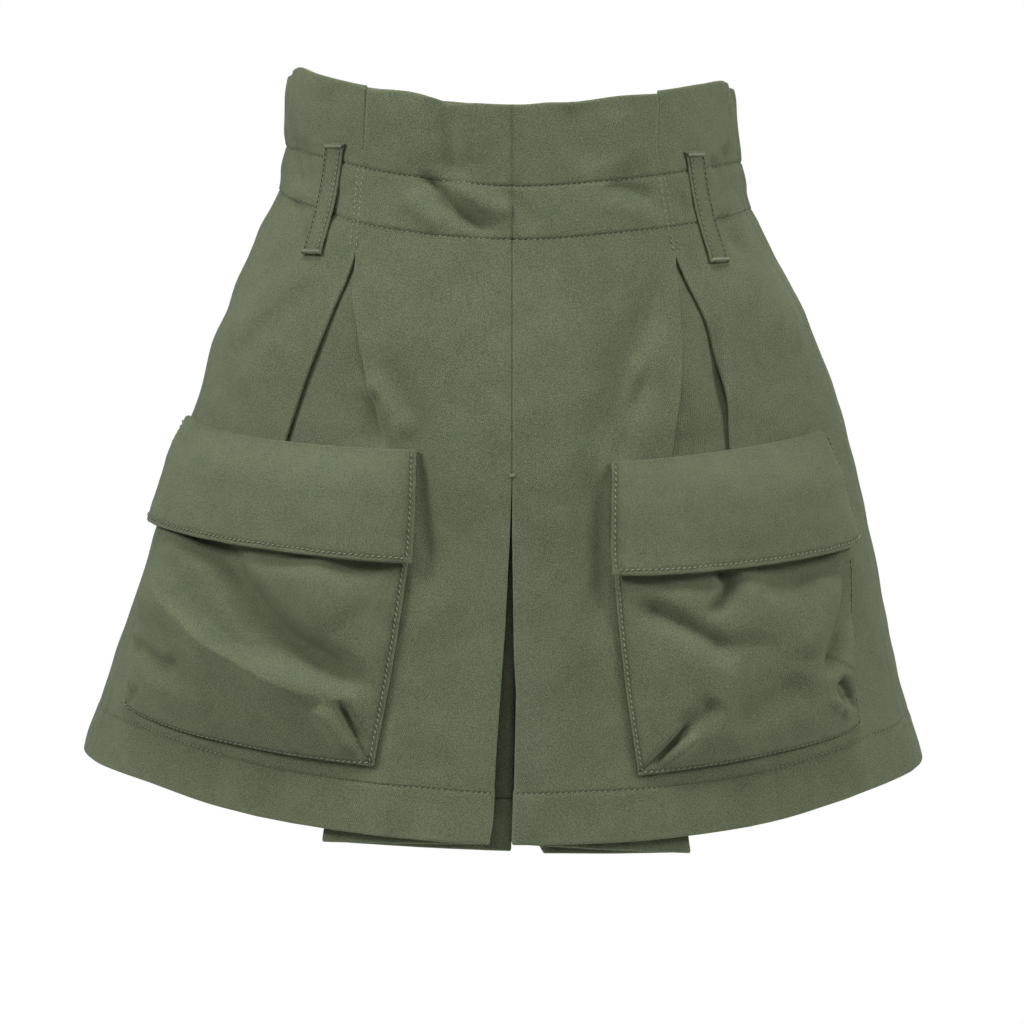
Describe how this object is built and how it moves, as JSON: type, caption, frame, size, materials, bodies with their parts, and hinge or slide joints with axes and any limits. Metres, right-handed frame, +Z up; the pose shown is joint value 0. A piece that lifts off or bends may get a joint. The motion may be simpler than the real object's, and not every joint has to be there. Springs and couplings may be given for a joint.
{
  "type": "cargo shorts",
  "caption": "High-waisted flared cargo shorts, worn form: paper-bag frill, stitched casing, inverted pleats and flapped cargo pockets.",
  "frame": {"origin": "middle of the waist, half way up the stitched casing, on the wearer's axis", "axes": "+X to the viewer's right as the front is seen, +Y from the front to the back, +Z up along the wearer"},
  "size_m": [0.477, 0.3034, 0.4215],
  "materials": {
    "shorts_cloth": "matt olive-green cotton twill",
    "pleat_cloth": "matt olive-green cotton twill, in shade",
    "pocket_cloth": "matt olive-green cotton twill, edge-stitched",
    "loop_cloth": "matt olive-green cotton twill, folded and edge-stitched"
  },
  "bodies": {
    "root": {"front_left": "shorts_cloth", "front_right": "shorts_cloth", "underlay_left": "pleat_cloth", "underlay_right": "pleat_cloth", "back_left": "shorts_cloth", "back_right": "shorts_cloth", "pocket_bag_left": "pocket_cloth", "pocket_bag_right": "pocket_cloth", "pocket_flap_left": "pocket_cloth", "pocket_flap_right": "pocket_cloth", "belt_loop_front_left": "loop_cloth", "belt_loop_front_right": "loop_cloth", "belt_loop_back_left": "loop_cloth", "belt_loop_back_centre": "loop_cloth", "belt_loop_back_right": "loop_cloth"}
  },
  "joints": []
}
